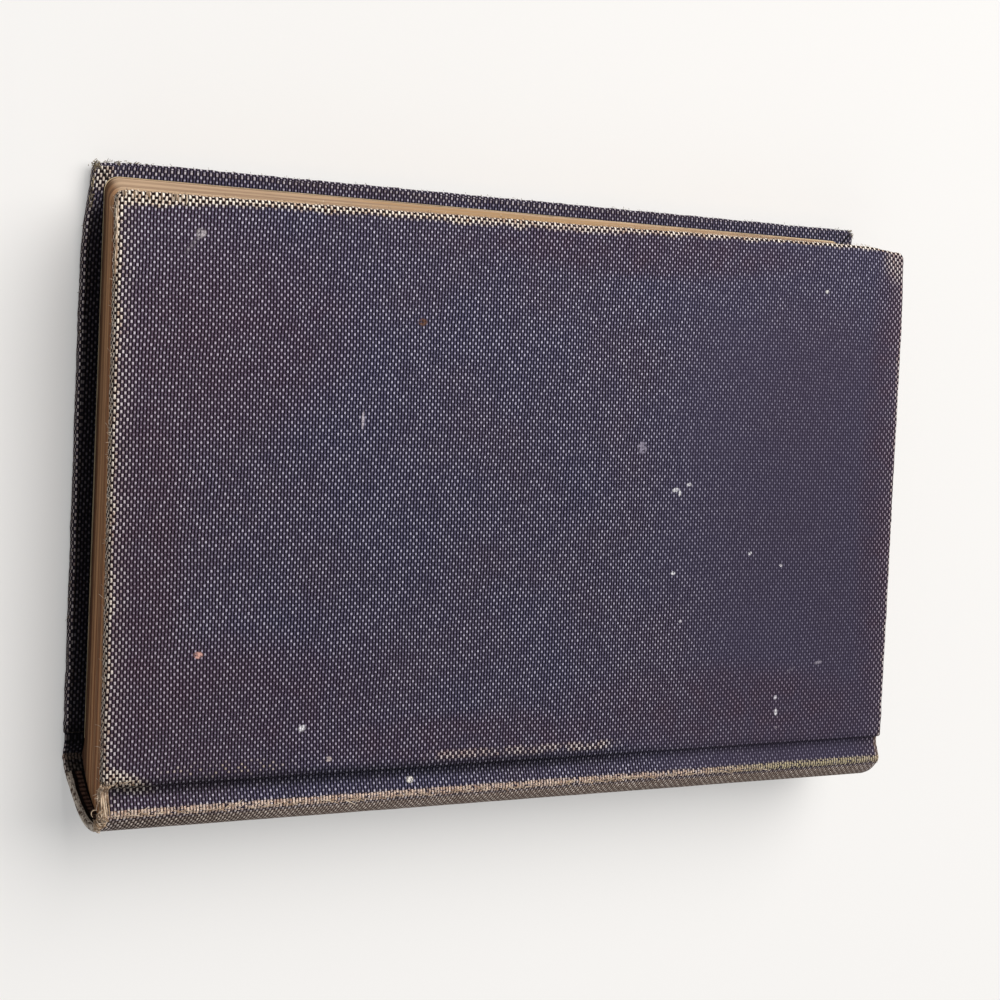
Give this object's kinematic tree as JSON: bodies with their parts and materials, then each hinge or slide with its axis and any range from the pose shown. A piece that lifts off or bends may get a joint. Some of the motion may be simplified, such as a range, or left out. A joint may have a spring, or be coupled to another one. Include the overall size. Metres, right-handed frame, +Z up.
{
  "type": "hardback book",
  "caption": "Old cloth-bound hardback book, gone cocked, with hinged front and back covers, hollow round spine, endpapers and a solid block of pages.",
  "frame": {"origin": "middle of the back cover's outside face, which the book lies on", "axes": "+X along the spine from head to tail, +Y from the spine to the fore-edge, +Z up out of the front cover"},
  "size_m": [0.192, 0.1324, 0.0229],
  "materials": {
    "bookcloth": "coarse plain-woven canvas, dark violet-blue with pale threads, worn",
    "millboard": "grey-brown pressed board",
    "page_edges": "toned page edges, light brown",
    "endpaper": "smooth toned paper",
    "gauze": "open starched cotton gauze",
    "spine_paper": "brown kraft paper"
  },
  "bodies": {
    "book_block": {"text_block": "page_edges", "front_flyleaf": "endpaper", "back_flyleaf": "endpaper", "mull": "gauze", "back_lining": "spine_paper", "spine_inlay": "spine_paper", "spine_cloth": "bookcloth"},
    "front_cover": {"front_board": "millboard", "front_cover_cloth": "bookcloth", "front_mull_flap": "gauze", "front_pastedown": "endpaper"},
    "back_cover": {"back_board": "millboard", "back_cover_cloth": "bookcloth", "back_mull_flap": "gauze", "back_pastedown": "endpaper"}
  },
  "joints": [
    {"name": "front_joint", "type": "hinge", "parent": "book_block", "child": "front_cover", "pos_m": [0.00199, -0.06927, 0.0229], "axis": [0.9999, 0.0116, 0], "range_deg": [0, 179]},
    {"name": "back_joint", "type": "hinge", "parent": "book_block", "child": "back_cover", "pos_m": [0, -0.0633, 0], "axis": [-1, 0, 0], "range_deg": [0, 179]}
  ]
}
